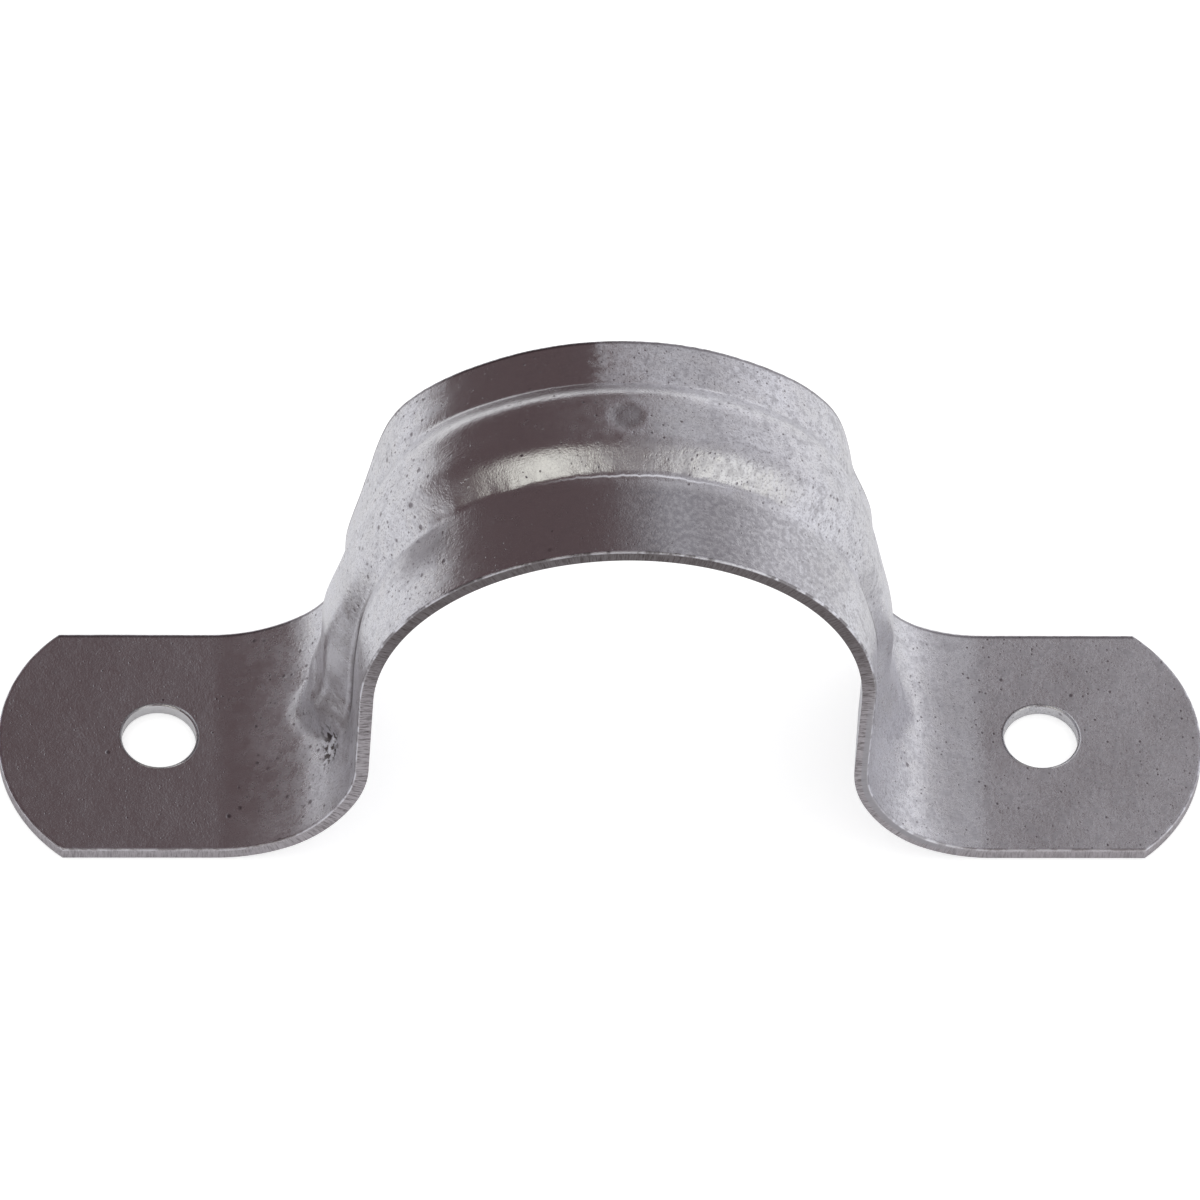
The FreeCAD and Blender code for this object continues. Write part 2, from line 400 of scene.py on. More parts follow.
class Tree:
    """A node tree with short calls for the nodes that the forming rule and the finishes use."""

    def __init__(self, tree):
        self.tree = tree

    def node(self, kind, **settings):
        made = self.tree.nodes.new(kind)
        for key, value in settings.items():
            setattr(made, key, value)
        return made

    def put(self, value, socket):
        if isinstance(value, bpy.types.NodeSocket):
            self.tree.links.new(value, socket)
        else:
            socket.default_value = value

    def math(self, operation, *values, clamp=False):
        made = self.node("ShaderNodeMath", operation=operation, use_clamp=clamp)
        for value, socket in zip(values, made.inputs):
            self.put(value, socket)
        return made.outputs[0]

    def add(self, a, b):
        return self.math("ADD", a, b)

    def sub(self, a, b):
        return self.math("SUBTRACT", a, b)

    def mul(self, a, b):
        return self.math("MULTIPLY", a, b)

    def div(self, a, b):
        return self.math("DIVIDE", a, b)

    def ramp(self, value, low, high, out_low=0.0, out_high=1.0):
        made = self.node("ShaderNodeMapRange", interpolation_type="SMOOTHSTEP", clamp=True)
        for entry, socket in zip((value, low, high, out_low, out_high), made.inputs):
            self.put(entry, socket)
        return made.outputs[0]

    def window(self, value, start, full, fading, end):
        """0 up to start, 1 from full to fading, and 0 again from end on."""
        return self.mul(self.ramp(value, start, full), self.ramp(value, fading, end, 1.0, 0.0))

    def hump(self, value, middle, reach):
        """1 at middle, falling smoothly to 0 at reach from it."""
        away = self.math("ABSOLUTE", self.sub(value, middle))
        return self.ramp(away, 0.0, reach, 1.0, 0.0)

    def mix(self, factor, first, second):
        """first where factor is 0, second where it is 1."""
        return self.math("MULTIPLY_ADD", factor, self.sub(second, first), first)

    def most(self, a, b):
        return self.math("MAXIMUM", a, b)

    def distance(self, x, y):
        """Distance of the point (x, y) from the origin."""
        made = self.node("ShaderNodeVectorMath", operation="LENGTH")
        self.put(self.vector(x, y, 0.0), made.inputs[0])
        return made.outputs["Value"]

    def noise(self, place, scale, detail, roughness):
        made = self.node("ShaderNodeTexNoise")
        self.put(place, made.inputs["Vector"])
        self.put(scale, made.inputs["Scale"])
        self.put(detail, made.inputs["Detail"])
        self.put(roughness, made.inputs["Roughness"])
        return made.outputs[0]

    def vector(self, x, y, z):
        made = self.node("ShaderNodeCombineXYZ")
        for value, socket in zip((x, y, z), made.inputs):
            self.put(value, socket)
        return made.outputs[0]

    def split(self, value):
        made = self.node("ShaderNodeSeparateXYZ")
        self.put(value, made.inputs[0])
        return made.outputs

    def scaled(self, value, factor):
        made = self.node("ShaderNodeVectorMath", operation="SCALE")
        self.put(value, made.inputs[0])
        self.put(factor, made.inputs["Scale"])
        return made.outputs[0]

    def moved(self, value, offset):
        made = self.node("ShaderNodeVectorMath", operation="ADD")
        self.put(value, made.inputs[0])
        self.put(offset, made.inputs[1])
        return made.outputs[0]


class Strip:
    """A point's place on the flat blank, in millimetres: along it, across it and up from its upper face."""

    def __init__(self, t, place):
        self.place = place
        self.along, self.across, self.up = t.split(place)
        self.run = t.math("ABSOLUTE", self.along)
        self.left = t.math("LESS_THAN", self.along, 0.0)


FORM_INPUTS = [
    ("Sheet", "sheet"),
    ("Saddle Radius", "saddle_radius"),
    ("Saddle Height", "saddle_height"),
    ("Saddle Width", "saddle_width"),
    ("Foot Width", "foot_width"),
    ("Knee Radius", "knee_radius"),
    ("Rib Root Width", "rib_root"),
    ("Rib Crest Width", "rib_crest"),
    ("Rib Height", "rib_height"),
    ("Rib Shift", "rib_shift"),
    ("Rib Fade Start", "rib_fade_start"),
    ("Rib Fade End", "rib_fade_end"),
    ("Pinch", "pinch"),
    ("Splay", "splay"),
    ("Mark Radius", "mark_radius"),
    ("Mark Depth", "mark_depth"),
]


def root_waver(t, strip):
    """How the front root of the rib wanders, from about -0.5 to 0.5."""
    return t.sub(t.noise(t.vector(strip.along, 0.0, 3.1), 0.55, 4.0, 0.62), 0.5)


def crumpled_spot(t, strip):
    """Distance from the middle of the crumpled spot in the left knee, and the noise that fills it."""
    beyond = t.sub(strip.along, CRUMPLE_ALONG)
    beside = t.mul(t.sub(strip.across, CRUMPLE_ACROSS), 0.75)
    return t.distance(beyond, beside), t.noise(t.moved(strip.place, (3.0, 9.0, 0.0)), 1.7, 2.0, 0.6)


def turned_out(t, strip):
    """1 on the right leg, which was turned outward."""
    return t.mul(t.window(strip.run, 30.0, 38.0, 49.0, 58.0), t.sub(1.0, strip.left))


def rib_lift(t, given, strip, bent, fade, from_rib, depth, upper):
    """Height of the rib over a point of the strip, with its soft creases and its squeezed ridge."""
    on_leg = t.ramp(strip.run, 33.0, 42.0)
    leg_growth = t.mul(on_leg, t.add(0.2, t.mul(strip.left, 0.05)))
    taller = t.sub(leg_growth, t.mul(turned_out(t, strip), 0.5))
    rise = t.mul(t.mul(given["Rib Height"], fade), t.add(1.0, taller))

    # The hollow side's creases lie further in, by half the flank's angle.
    flank = t.mul(t.sub(given["Rib Root Width"], given["Rib Crest Width"]), 0.5)
    slope = t.div(rise, flank)
    narrowing = t.mul(depth, t.math("TANGENT", t.mul(t.math("ARCTANGENT", slope), 0.5)))
    half_root = t.mul(given["Rib Root Width"], 0.5)
    reach = t.sub(t.sub(half_root, narrowing), t.math("ABSOLUTE", from_rib))

    front = t.math("LESS_THAN", from_rib, 0.0)
    waver_amount = t.mul(t.mul(front, t.ramp(strip.run, 13.0, 22.0, 1.0, 0.15)), WAVER_SIZE)
    waver_amount = t.mul(waver_amount, t.hump(reach, 0.0, 1.3 * MM))
    reach = t.add(reach, t.mul(t.mul(root_waver(t, strip), waver_amount), upper))
    spread = t.mul(t.ramp(strip.run, 36.0, 52.0), ROOT_SPREAD)
    reach = t.add(reach, t.mul(spread, front))

    # The rib narrows to a round end in the knee.
    fade_span = t.sub(given["Rib Fade End"], given["Rib Fade Start"])
    into_fade = t.sub(bent, t.mul(given["Rib Fade Start"], 0.5))
    ending = t.math("DIVIDE", into_fade, fade_span, clamp=True)
    reach = t.sub(reach, t.mul(t.mul(ending, ending), 3.0 * MM))

    low_share = t.div(depth, given["Sheet"])
    root_soft = t.add(0.24 * MM, t.mul(low_share, 0.58 * MM))
    root_soft = t.mul(t.add(root_soft, t.mul(on_leg, -0.1 * MM)), fade)
    crest_soft = t.add(1.35 * MM, t.mul(ending, 0.9 * MM))
    crest_soft = t.mul(t.sub(crest_soft, t.mul(low_share, 0.8 * MM)), fade)
    rib = t.math("SMOOTH_MAX", t.mul(reach, slope), 0.0, root_soft)
    rib = t.math("SMOOTH_MIN", rib, rise, crest_soft)

    # The thin ridge that the die squeezed up along the front root.
    ridge_height = t.mul(t.hump(strip.along, 2.5, 12.0), RIDGE_HEIGHT)
    ridge = t.mul(t.hump(reach, -0.1 * MM, 0.34 * MM), ridge_height)
    return t.add(rib, t.mul(t.mul(ridge, front), upper))


def pressed_in(t, given, strip, along, from_rib):
    """Depth of the pin's mark, of the crumpled spot and of the unevenness of hand forming."""
    off_mark = t.distance(along, from_rib)
    mark_in = t.sub(given["Mark Radius"], 0.22 * MM)
    mark = t.mul(t.ramp(off_mark, mark_in, given["Mark Radius"], 1.0, 0.0), given["Mark Depth"])

    uneven = t.mul(t.ramp(t.noise(strip.place, 0.16, 1.0, 0.4), 0.25, 0.75), UNEVEN_DEPTH)
    dents = t.noise(t.moved(strip.place, (17.0, 5.0, 0.0)), 1.3, 2.0, 0.5)
    dents = t.mul(t.ramp(dents, 0.55, 0.8), DENT_DEPTH)

    away, crumple = crumpled_spot(t, strip)
    crumple = t.mul(t.ramp(crumple, 0.38, 0.60), t.ramp(away, 0.5, 1.7, 1.0, 0.0))
    crumple = t.mul(crumple, CRUMPLE_DEPTH)
    return t.add(t.add(mark, uneven), t.add(dents, crumple))


def drawn_in(t, given, strip):
    """How far the sheet was drawn in as the rib was pressed: less than 0 where it was pushed out."""
    run, across = strip.run, strip.across
    behind_rib = t.ramp(across, 4.0, 8.0)
    over_rib = t.window(across, -6.0, 0.0, 5.0, 8.0)
    at_back = t.mul(t.hump(run, 31.5, 10.5), behind_rib)
    at_rib = t.mul(t.mul(t.window(run, 13.0, 29.0, 30.0, 42.0), over_rib), 1.3)
    shoulder = t.mul(t.mul(t.hump(run, 19.0, 9.0), behind_rib), SHOULDER_RISE)

    left_splay = t.mul(t.window(run, 34.0, 43.0, 48.0, 57.0), t.ramp(across, 2.0, 9.0))
    left_splay = t.mul(left_splay, t.mul(strip.left, 0.4))
    toe = t.math("DIVIDE", t.add(across, 11.2), 11.0, clamp=True)
    splay = t.add(left_splay, t.mul(t.mul(turned_out(t, strip), toe), 1.2))
    pushed_out = t.add(shoulder, t.mul(splay, given["Splay"]))
    return t.sub(t.mul(t.add(at_back, at_rib), given["Pinch"]), pushed_out)


def forming_tree():
    """Geometry Nodes that press the flat blank to the strap's form."""
    group = bpy.data.node_groups.new("form_strap", "GeometryNodeTree")
    face = group.interface
    face.new_socket("Blank", in_out="INPUT", socket_type="NodeSocketGeometry")
    for name, _ in FORM_INPUTS:
        face.new_socket(name, in_out="INPUT", socket_type="NodeSocketFloat")
    for name in ("Zinc", "Sheared Steel"):
        face.new_socket(name, in_out="INPUT", socket_type="NodeSocketMaterial")
    face.new_socket("Strap", in_out="OUTPUT", socket_type="NodeSocketGeometry")
    t = Tree(group)
    given = t.node("NodeGroupInput").outputs
    result = t.node("NodeGroupOutput")
    place = t.node("GeometryNodeInputPosition").outputs[0]
    along, across, up = t.split(place)
    strip = Strip(t, t.scaled(place, 1000.0))

    # How much of each bend and straight lies between the middle of the strip and the point.
    sheet = given["Sheet"]
    knee = given["Knee Radius"]
    outside = t.add(given["Saddle Radius"], sheet)
    run = t.math("ABSOLUTE", along)
    arch_run = t.mul(outside, math.pi / 2)
    leg_run = t.sub(given["Saddle Height"], t.add(sheet, knee))
    knee_run = t.mul(knee, math.pi / 2)
    arch = t.div(t.math("MINIMUM", run, arch_run), outside)
    past_arch = t.most(t.sub(run, arch_run), 0.0)
    leg = t.math("MINIMUM", past_arch, leg_run)
    past_leg = t.most(t.sub(past_arch, leg_run), 0.0)
    bent = t.div(t.math("MINIMUM", past_leg, knee_run), knee)
    foot = t.most(t.sub(past_leg, knee_run), 0.0)
    tilt = t.sub(arch, bent)

    # The strip is narrower over the saddle than at its feet.
    widened = t.ramp(bent, given["Rib Fade Start"], given["Rib Fade End"])
    narrow = t.div(given["Saddle Width"], given["Foot Width"])
    width = t.mul(across, t.mix(widened, narrow, 1.0))
    from_rib = t.sub(width, given["Rib Shift"])

    depth = t.mul(up, -1.0)
    upper = t.math("LESS_THAN", t.div(depth, sheet), 0.3)
    rib = rib_lift(t, given, strip, bent, t.sub(1.0, widened), from_rib, depth, upper)
    sunk = t.mul(pressed_in(t, given, strip, along, from_rib), upper)
    lift = t.add(up, t.sub(rib, t.add(sunk, drawn_in(t, given, strip))))

    x = t.mul(outside, t.math("SINE", arch))
    x = t.add(x, t.mul(knee, t.sub(1.0, t.math("COSINE", bent))))
    x = t.add(t.add(x, foot), t.mul(t.math("SINE", tilt), lift))
    z = t.add(given["Saddle Height"], t.mul(outside, t.math("COSINE", arch)))
    z = t.sub(z, t.add(leg, t.mul(knee, t.math("SINE", bent))))
    z = t.add(z, t.mul(t.math("COSINE", tilt), lift))
    x = t.mul(x, t.math("SIGN", along))

    formed = t.node("GeometryNodeSetPosition")
    t.put(given["Blank"], formed.inputs["Geometry"])
    t.put(t.vector(x, width, z), formed.inputs["Position"])
    whole = t.node("GeometryNodeRealizeInstances")
    t.put(formed.outputs[0], whole.inputs[0])
    coat = t.node("GeometryNodeSetMaterial")
    t.put(whole.outputs[0], coat.inputs["Geometry"])
    t.put(given["Zinc"], coat.inputs["Material"])
    named = t.node("GeometryNodeInputNamedAttribute", data_type="BOOLEAN")
    named.inputs["Name"].default_value = "sheared"
    edge = t.node("GeometryNodeSetMaterial")
    t.put(coat.outputs[0], edge.inputs["Geometry"])
    t.put(named.outputs["Attribute"], edge.inputs["Selection"])
    t.put(given["Sheared Steel"], edge.inputs["Material"])
    t.put(edge.outputs[0], result.inputs[0])
    return group


def press(blank, sizes, zinc, sheared):
    """Forms the blank with the forming tree and returns the result as a plain mesh."""
    holder = bpy.data.objects.new("strap_in_press", blank)
    bpy.context.scene.collection.objects.link(holder)
    modifier = holder.modifiers.new("form", "NODES")
    modifier.node_group = forming_tree()
    keys = {item.name: item.identifier for item in modifier.node_group.interface.items_tree}
    for name, attribute in FORM_INPUTS:
        modifier[keys[name]] = getattr(sizes, attribute)
    modifier[keys["Zinc"]] = zinc
    modifier[keys["Sheared Steel"]] = sheared
    view_layer = bpy.context.evaluated_depsgraph_get()
    formed = bpy.data.meshes.new_from_object(holder.evaluated_get(view_layer))
    holder.modifiers.remove(modifier)
    bpy.data.objects.remove(holder)
    return formed


# ------------------------------------------------------------------------------------------- finishes


def new_material(name):
    material = bpy.data.materials.new(name)
    material.use_nodes = True
    material.node_tree.nodes.clear()
    return material, Tree(material.node_tree)


def finish_metal(t, colour, metallic, roughness, relief, relief_depth, relief_strength=1.0):
    """Joins a metal's values to the material's output. relief_depth is in metres."""
    shader = t.node("ShaderNodeBsdfPrincipled")
    t.put(metallic, shader.inputs["Metallic"])
    t.put(colour, shader.inputs["Base Color"])
    t.put(roughness, shader.inputs["Roughness"])
    bump = t.node("ShaderNodeBump")
    bump.inputs["Strength"].default_value = relief_strength
    bump.inputs["Distance"].default_value = relief_depth
    t.put(relief, bump.inputs["Height"])
    t.put(bump.outputs[0], shader.inputs["Normal"])
    out = t.node("ShaderNodeOutputMaterial")
    t.put(shader.outputs[0], out.inputs["Surface"])


def blank_strip(t):
    """The strip's place as the blank's mesh carries it."""
    made = t.node("ShaderNodeAttribute", attribute_name="blank")
    return Strip(t, t.scaled(made.outputs["Vector"], 1000.0))


def blend(t, factor, first, second):
    made = t.node("ShaderNodeMix", data_type="RGBA")
    t.put(factor, made.inputs["Factor"])
    for value, socket in ((first, made.inputs["A"]), (second, made.inputs["B"])):
        t.put(value if isinstance(value, bpy.types.NodeSocket) else (*value, 1.0), socket)
    return made.outputs["Result"]


def pits(t, place, scale, radius, kept):
    """Round pits scattered over the surface: 1 inside a pit. kept is the share of cells that hold one."""
    cells = t.node("ShaderNodeTexVoronoi", feature="F1")
    t.put(place, cells.inputs["Vector"])
    t.put(scale, cells.inputs["Scale"])
    cells.inputs["Randomness"].default_value = 1.0
    chance, wide, _ = t.split(cells.outputs["Color"])
    held = t.ramp(chance, kept, t.add(kept, 0.02), 1.0, 0.0)
    reach = t.mul(t.add(0.55, t.mul(wide, 0.75)), radius * scale)
    dot = t.ramp(cells.outputs["Distance"], t.mul(reach, 0.35), reach, 1.0, 0.0)
    return t.mul(dot, held)


def painted_sheen_and_bloom_areas(t, strip, mottle):
    """Where the zinc is painted paler, and the part of it on the shoulders and legs.

    The paler share is partly bloom and partly painted reflection: the right side and the shoulders
    are painted paler as painted sheen, and the left foot and the left of the saddle stay darker.
    The border lies further to the right in front of the rib than on it or behind it.
    """
    # Painted reflection: a ragged border between the darker left and the paler right.
    ragged = t.mul(t.sub(mottle, 0.5), 5.0)
    ragged_along = t.add(strip.along, ragged)
    behind = t.ramp(ragged_along, -3.2, -1.0)
    on_top = t.ramp(ragged_along, -9.0, 13.0)
    in_front = t.ramp(ragged_along, 1.0, 22.0)
    rightward = t.mix(t.ramp(strip.across, -4.5, -3.0), in_front, on_top)
    rightward = t.mix(t.ramp(strip.across, 5.6, 6.6), rightward, behind)
    rightward = t.mul(rightward, t.ramp(strip.along, 48.0, 66.0, 1.0, 0.45))
    # Painted sheen on the shoulders, fading out towards the feet; the large pits use this share too.
    shoulder = t.ramp(t.add(strip.run, ragged), 14.5, 21.0)
    shoulder = t.mul(shoulder, t.ramp(strip.run, 50.0, 66.0, 1.0, 0.0))
    return t.most(rightward, shoulder), shoulder


def scattered_pits(t, strip, painted_sheen_and_bloom, shoulder):
    """Pits of three sizes, fewer where the zinc is not painted paler and hardly any on the legs."""
    place = strip.place
    large_share = t.mul(shoulder, t.add(0.12, t.mul(strip.left, 0.5)))
    small_share = t.add(0.03, t.mul(painted_sheen_and_bloom, 0.32))
    dust_share = t.add(0.10, t.mul(painted_sheen_and_bloom, 0.40))
    large = pits(t, place, 1.15, 0.25, large_share)
    small = pits(t, t.moved(place, (11.0, 7.0, 0.0)), 2.1, 0.13, small_share)
    dust = pits(t, t.moved(place, (5.0, 17.0, 0.0)), 3.4, 0.085, dust_share)
    return t.most(t.most(large, small), t.mul(dust, 0.6))


def front_painted_shade(t, strip, finish, colour, mottle, blotch, outer):
    """Painted shade in front of the rib: a darker grainy patch over the right of the saddle and a dark
    patch down the left shoulder.
    """
    # Painted shade: the front flange right of the middle is darkened as a painted dark reflection, made
    # grainy by the blotch noise.
    painted_flange_shade = t.mul(t.ramp(strip.across, -4.9, -3.6, 1.0, 0.0), t.ramp(strip.along, -3.0, 3.0))
    painted_flange_shade = t.mul(t.mul(painted_flange_shade, outer), t.ramp(strip.along, 17.0, 25.0, 1.0, 0.0))
    painted_flange_shade = t.mul(painted_flange_shade, t.add(0.30, t.mul(t.ramp(blotch, 0.36, 0.62), 0.55)))
    colour = blend(t, painted_flange_shade, colour, finish.dull)

    # Painted shade: a dark patch on the left front flange beside the rib's root, standing in for the rib's
    # flank reflected there.
    ragged_along = t.add(strip.along, t.mul(t.sub(mottle, 0.5), 3.0))
    painted_shade_wedge = t.mul(t.ramp(ragged_along, -25.0, -20.5), t.ramp(strip.along, -18.5, -15.5, 1.0, 0.0))
    painted_shade_wedge = t.mul(painted_shade_wedge, t.window(strip.across, -9.0, -5.4, -3.9, -3.3))
    return blend(t, t.mul(t.mul(painted_shade_wedge, 0.75), outer), colour, finish.speck_and_shade)


def pin_mark(t, strip, finish, colour, blotch, outer):
    """The pin's mark: dull inside, with a paler ring."""
    off_mark = t.distance(strip.along, t.sub(strip.across, MARK_ACROSS))
    off_mark = t.add(off_mark, t.mul(t.sub(blotch, 0.5), 0.8))
    disc = t.mul(t.mul(t.ramp(off_mark, 1.0, 1.5, 1.0, 0.0), 0.5), outer)
    ring = t.mul(t.mul(t.hump(off_mark, 1.75, 0.4), 0.4), outer)
    return blend(t, ring, blend(t, disc, colour, finish.dull), finish.bloom_and_painted_sheen)


def crumple_painted_light(t, strip, finish, colour, outer):
    """Painted highlight on the crumpled spot's ridges and painted shade where it is pressed in deepest."""
    away, crumple_relief = crumpled_spot(t, strip)
    crumpled = t.mul(t.ramp(away, 0.8, 1.8, 1.0, 0.0), outer)
    # Painted highlight where the crumple is pressed in least.
    colour = blend(t, t.mul(crumpled, t.ramp(crumple_relief, 0.50, 0.42)), colour, finish.bloom_and_painted_sheen)
    # Painted shade, in the sheared steel's colour, where the crumple is pressed in deepest.
    folds = t.mul(t.mul(crumpled, t.ramp(crumple_relief, 0.50, 0.57)), 0.95)
    return blend(t, folds, colour, finish.sheared)


def rib_roots(t, strip, outer):
    """Painted highlight and painted shade shares at the rib's front root: a highlight line along the
    squeezed ridge, a highlight on the left leg's bead, and in the leg creases a highlight on the left leg
    beside a dark shade line.
    """
    formed_across = t.mul(strip.across, WIDTH_KEPT)
    waver = t.mul(root_waver(t, strip), WAVER_SIZE / MM)
    # Painted highlight along the ridge squeezed up at the front root, following its waver.
    root_line = t.add(t.sub(formed_across, ROOT_LINE_ACROSS), waver)
    root_line = t.mul(t.hump(root_line, 0.0, 0.17), t.hump(strip.along, 2.5, 12.5))
    # Painted highlight on the left leg's bead.
    painted_bead_highlight = t.mul(t.hump(strip.along, -42.0, 5.0), t.hump(strip.across, -2.0, 2.2))
    spread = t.mul(t.ramp(strip.run, 36.0, 52.0), ROOT_SPREAD / MM)
    leg_root = t.add(t.sub(formed_across, ROOT_ACROSS), spread)
    creased = t.mul(t.window(strip.run, 28.5, 31.0, 45.0, 50.0), outer)
    # Painted highlight beside the left leg's crease.
    painted_leg_highlight = t.mul(t.mul(t.hump(leg_root, 0.42, 0.34), creased), strip.left)
    pale = t.math("MAXIMUM", t.mul(root_line, 0.95), t.mul(painted_bead_highlight, 0.6), clamp=True)
    pale = t.mul(t.most(pale, t.mul(painted_leg_highlight, 0.55)), outer)
    # Painted shade: a dark line in the legs' creases at the front root.
    return pale, t.mul(t.mul(t.hump(leg_root, 0.0, 0.26), creased), 0.8)


def zinc_material(finish):
    """Galvanised sheet: a satin coat with pale bloom, mottling, dark pits and fine grain.

    Also painted light: a paler right side and shoulders as painted reflection, painted highlights
    at the rib's front root, and painted shade in front of the rib, in the legs' creases and in the
    crumpled spot.
    """
    material, t = new_material("galvanised_sheet")
    strip = blank_strip(t)
    place = strip.place
    outer = t.ramp(strip.up, -0.6, -0.3)
    broad = t.noise(place, 0.16, 3.0, 0.55)
    mottle = t.noise(t.moved(place, (40.0, 0.0, 0.0)), 0.75, 4.0, 0.62)
    blotch = t.noise(t.moved(place, (0.0, 30.0, 0.0)), 2.1, 3.0, 0.62)
    grain = t.noise(place, 5.5, 2.0, 0.6)
    brushed = t.vector(t.mul(strip.along, 0.9), t.mul(strip.across, 7.0), 4.0)
    hair = t.noise(brushed, 1.0, 3.0, 0.6)

    # Painted reflection: the right side and the shoulders are painted paler, partly as bloom.
    painted_sheen_and_bloom, shoulder = painted_sheen_and_bloom_areas(t, strip, mottle)
    patchy = t.ramp(t.add(t.mul(broad, 0.45), t.mul(mottle, 0.55)), 0.38, 0.60)
    # Pale colour: real bloom in mottled patches, and painted sheen over the paler share.
    bloom_and_painted_sheen = t.mul(painted_sheen_and_bloom, t.add(0.35, t.mul(patchy, 0.65)))
    colour = blend(t, bloom_and_painted_sheen, finish.zinc, finish.bloom_and_painted_sheen)

    leg = t.window(strip.run, 33.0, 37.0, 50.0, 54.0)
    holes = t.mul(scattered_pits(t, strip, painted_sheen_and_bloom, shoulder), t.sub(1.0, t.mul(leg, 0.9)))
    smudge = t.ramp(t.add(t.mul(blotch, 0.42), t.mul(mottle, 0.58)), 0.44, 0.62)
    smudge_depth = t.add(0.16, t.mul(painted_sheen_and_bloom, t.sub(0.54, t.mul(strip.left, 0.22))))
    smudge = t.mul(t.mul(smudge, smudge_depth), t.sub(1.0, t.mul(leg, 0.6)))
    colour = blend(t, smudge, colour, finish.dull)
    speckle = t.mul(t.ramp(grain, 0.52, 0.64), t.add(0.06, t.mul(painted_sheen_and_bloom, 0.34)))
    colour = blend(t, speckle, colour, finish.speck_and_shade)
    colour = blend(t, t.mul(holes, 0.85), colour, finish.speck_and_shade)

    # Painted shade in front of the rib.
    colour = front_painted_shade(t, strip, finish, colour, mottle, blotch, outer)
    colour = pin_mark(t, strip, finish, colour, blotch, outer)
    # Painted highlight and painted shade on the crumpled spot.
    colour = crumple_painted_light(t, strip, finish, colour, outer)
    back_edge = t.mul(t.ramp(strip.across, 11.0, 11.22), 0.75)
    colour = blend(t, back_edge, colour, finish.speck_and_shade)
    # Painted highlights and painted shade at the rib's front root.
    pale, crease = rib_roots(t, strip, outer)
    colour = blend(t, crease, blend(t, pale, colour, finish.bloom_and_painted_sheen), finish.speck_and_shade)

    # Painted highlights and painted sheen are made less metallic, so that they stay pale under any light.
    metallic = t.sub(1.0, t.most(t.mul(bloom_and_painted_sheen, 0.30), t.mul(pale, 0.8)))
    roughness = t.add(finish.roughness - 0.04, t.mul(t.sub(mottle, 0.5), 0.2))
    roughness = t.add(roughness, t.mul(painted_sheen_and_bloom, 0.06))
    relief = t.mul(t.add(0.30, t.mul(painted_sheen_and_bloom, 0.9)), t.mul(blotch, 0.62))
    relief = t.add(t.mul(mottle, 0.6), relief)
    relief = t.add(relief, t.add(t.mul(grain, 0.32), t.mul(hair, 0.2)))
    relief = t.sub(relief, t.mul(holes, 0.5))
    finish_metal(t, colour, metallic, roughness, relief, 0.055 * MM)
    return material


def sheared_material(finish):
    """Sheared steel: dark torn metal with striations down through the sheet and a bright burr."""
    material, t = new_material("sheared_steel")
    strip = blank_strip(t)
    streak = t.noise(t.vector(strip.along, strip.across, t.mul(strip.up, 0.12)), 11.0, 3.0, 0.6)
    smeared = t.mul(t.ramp(streak, 0.28, 0.60), t.ramp(strip.run, 24.0, 40.0, 0.25, 1.0))
    colour = blend(t, smeared, finish.sheared, finish.smear)
    colour = blend(t, t.ramp(strip.run, 40.0, 66.0, 0.0, 0.5), colour, finish.smear)

    # On the right leg the zinc was dragged half way down the sheared face.
    dragged = t.mul(t.ramp(strip.up, -0.72, -0.60), t.window(strip.along, 33.0, 40.0, 56.0, 64.0))
    colour = blend(t, t.mul(dragged, 0.85), colour, finish.dull)
    worn = t.ramp(t.noise(t.moved(strip.place, (5.0, 2.0, 0.0)), 0.9, 3.0, 0.6), 0.42, 0.6)
    burr = t.mul(t.ramp(strip.up, -0.2, -0.08), t.add(0.2, t.mul(worn, 0.8)))
    colour = blend(t, burr, colour, finish.bloom_and_painted_sheen)
    roughness = t.ramp(strip.up, -0.3, -0.05, 0.5, 0.3)
    finish_metal(t, colour, 1.0, roughness, streak, 0.06 * MM, 0.6)
    return material


def floor_material(finish):
    """Plain white floor that keeps the strap's shadow."""
    material, t = new_material("studio_floor")
    shader = t.node("ShaderNodeBsdfDiffuse")
    shader.inputs["Color"].default_value = (*finish.floor, 1.0)
    path = t.node("ShaderNodeLightPath").outputs
    seen = t.mul(t.most(path["Is Camera Ray"], path["Is Transmission Ray"]), FLOOR_SEEN)
    glow = t.node("ShaderNodeEmission")
    glow.inputs["Color"].default_value = (1.0, 1.0, 1.0, 1.0)
    t.put(t.add(seen, t.mul(path["Is Glossy Ray"], FLOOR_MIRRORED)), glow.inputs["Strength"])
    both = t.node("ShaderNodeAddShader")
    t.put(shader.outputs[0], both.inputs[0])
    t.put(glow.outputs[0], both.inputs[1])
    out = t.node("ShaderNodeOutputMaterial")
    t.put(both.outputs[0], out.inputs["Surface"])
    return material


# ------------------------------------------------------------------------------------------ operators


class STRAP_OT_strap(bpy.types.Operator):
    """Punch the blank and form it into the strap"""

    bl_idname = "strap.form"
    bl_label = "Form Strap"

    def execute(self, context):
        sizes = context.scene.strap_sizes
        finish = context.scene.strap_finish
        blank = make_blank(sizes)
        mesh = press(blank, sizes, zinc_material(finish), sheared_material(finish))
        mesh.name = "formed_strap"
        strap = bpy.data.objects.new("formed_strap", mesh)
        context.scene.collection.objects.link(strap)
        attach(strap, "root")
        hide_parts(NODE)
        return {"FINISHED"}


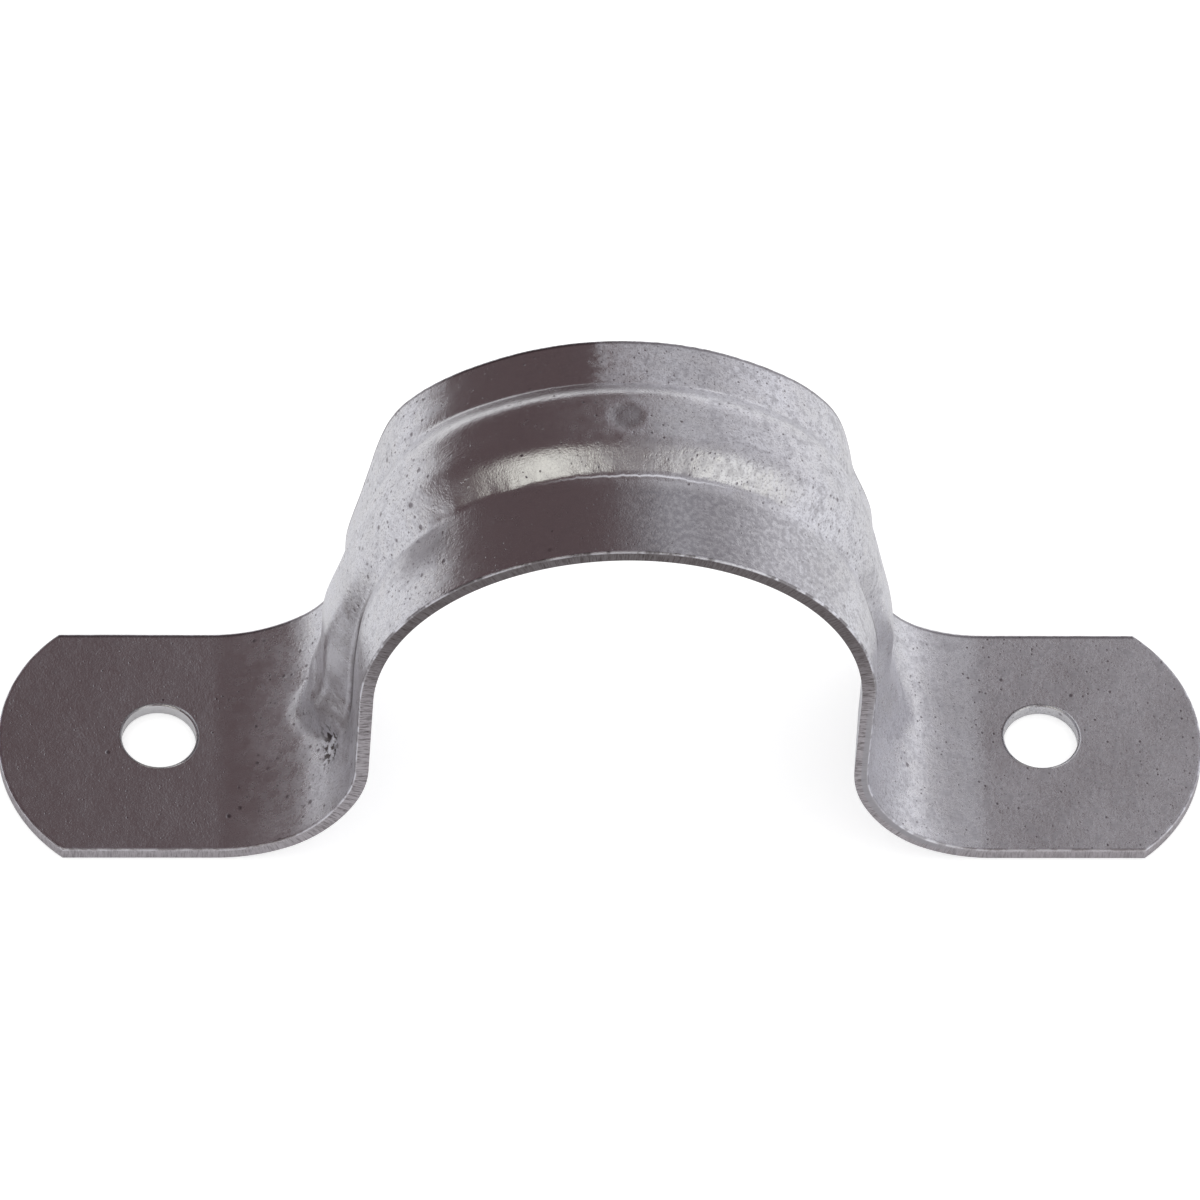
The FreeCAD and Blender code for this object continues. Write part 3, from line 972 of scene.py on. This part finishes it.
def aim(camera, azimuth, elevation, roll, distance, target):
    """Places the camera on the line of sight and turns it about that line."""
    a, e, r = math.radians(azimuth), math.radians(elevation), math.radians(roll)
    back = np.array([math.sin(a) * math.cos(e), -math.cos(a) * math.cos(e), math.sin(e)])
    right = np.array([math.cos(a), math.sin(a), 0.0])
    high = np.cross(back, right)
    turned_right = math.cos(r) * right + math.sin(r) * high
    turned_high = -math.sin(r) * right + math.cos(r) * high
    spot = np.array(target) + back * distance
    matrix = np.identity(4)
    matrix[:3, 0] = turned_right
    matrix[:3, 1] = turned_high
    matrix[:3, 2] = back
    matrix[:3, 3] = spot
    camera.matrix_world = Matrix(matrix.tolist())


class STRAP_OT_stage(bpy.types.Operator):
    """Lay the floor, hang the lamps and place the camera"""

    bl_idname = "strap.stage"
    bl_label = "Set Stage"

    def execute(self, context):
        scene = context.scene
        floor_mesh = bpy.data.meshes.new("studio_floor")
        corners = [(-1, -1), (1, -1), (1, 1), (-1, 1)]
        corners = [(x * FLOOR_REACH, y * FLOOR_REACH, -FLOOR_DROP) for x, y in corners]
        floor_mesh.from_pydata(corners, [], [(0, 1, 2, 3)])
        floor_mesh.materials.append(floor_material(scene.strap_finish))
        floor = bpy.data.objects.new("studio_floor", floor_mesh)
        scene.collection.objects.link(floor)

        self.light_world(scene)
        back, high = SOFTBOX_PLACE
        for number, (left, right, radiance) in enumerate(SOFTBOXES, 1):
            name = f"ceiling_softbox_{number}"
            data = bpy.data.lights.new(name, "AREA")
            data.shape = "RECTANGLE"
            data.size = right - left
            data.size_y = SOFTBOX_DEPTH
            data.energy = radiance * math.pi * data.size * data.size_y
            data.color = SOFTBOX_COLOUR
            lamp = bpy.data.objects.new(name, data)
            lamp.location = ((left + right) / 2, back, high)
            lamp.visible_camera = False
            scene.collection.objects.link(lamp)

        data = bpy.data.cameras.new("studio_camera")
        data.lens = CAMERA_LENS
        data.sensor_width = CAMERA_SENSOR
        data.clip_start = 0.1
        data.clip_end = 20.0
        camera = bpy.data.objects.new("studio_camera", data)
        scene.collection.objects.link(camera)
        aim(camera, **CAMERA_TURN, distance=CAMERA_DISTANCE, target=CAMERA_TARGET)
        scene.camera = camera
        scene.view_settings.view_transform = "Standard"
        return {"FINISHED"}

    def light_world(self, scene):
        """A room with pale walls, a dark ceiling and two windows. Camera and diffuse rays see white."""
        world = bpy.data.worlds.new("studio_room")
        world.use_nodes = True
        world.node_tree.nodes.clear()
        t = Tree(world.node_tree)
        facing = t.node("ShaderNodeTexCoord").outputs["Generated"]
        x, _, z = t.split(facing)
        low = t.ramp(z, -0.13, 0.27, 1.0, 0.0)
        left = blend(t, t.mul(low, low), CEILING_LEFT, WALL_TONE)
        right = blend(t, t.ramp(z, 0.02, 0.66), RIGHT_WALL_TONE, CEILING_RIGHT)
        colour = blend(t, t.ramp(x, 0.12, 0.4), left, right)
        for direction in WINDOWS:
            toward = t.node("ShaderNodeVectorMath", operation="DOT_PRODUCT")
            t.put(facing, toward.inputs[0])
            t.put(direction, toward.inputs[1])
            window = t.ramp(toward.outputs["Value"], 0.87, 1.0)
            window = t.mul(t.mul(window, window), 0.97)
            colour = blend(t, window, colour, WINDOW_TONE)
        path = t.node("ShaderNodeLightPath").outputs
        plain = t.most(path["Is Camera Ray"], path["Is Diffuse Ray"])
        colour = blend(t, plain, colour, (1.0, 1.0, 1.0))
        glow = t.node("ShaderNodeBackground")
        t.put(colour, glow.inputs["Color"])
        out = t.node("ShaderNodeOutputWorld")
        t.put(glow.outputs[0], out.inputs["Surface"])
        scene.world = world


class STRAP_PT_panel(bpy.types.Panel):
    """Sizes, finishes and the steps that make the strap"""

    bl_idname = "STRAP_PT_panel"
    bl_label = "Conduit Strap"
    bl_space_type = "VIEW_3D"
    bl_region_type = "UI"
    bl_category = "Strap"

    def draw(self, context):
        for group in (context.scene.strap_sizes, context.scene.strap_finish):
            box = self.layout.box()
            for name in group.__annotations__:
                box.prop(group, name)
        for operator in (STRAP_OT_strap, STRAP_OT_stage):
            self.layout.operator(operator.bl_idname)


CLASSES = (StrapSizes, StrapFinish, STRAP_OT_strap, STRAP_OT_stage, STRAP_PT_panel)


def register():
    for cls in CLASSES:
        bpy.utils.register_class(cls)
    bpy.types.Scene.strap_sizes = bpy.props.PointerProperty(type=StrapSizes)
    bpy.types.Scene.strap_finish = bpy.props.PointerProperty(type=StrapFinish)


def unregister():
    del bpy.types.Scene.strap_finish
    del bpy.types.Scene.strap_sizes
    for cls in reversed(CLASSES):
        bpy.utils.unregister_class(cls)


def main():
    register()
    bpy.ops.strap.form()
    bpy.ops.strap.stage()


if __name__ == "__main__":
    main()
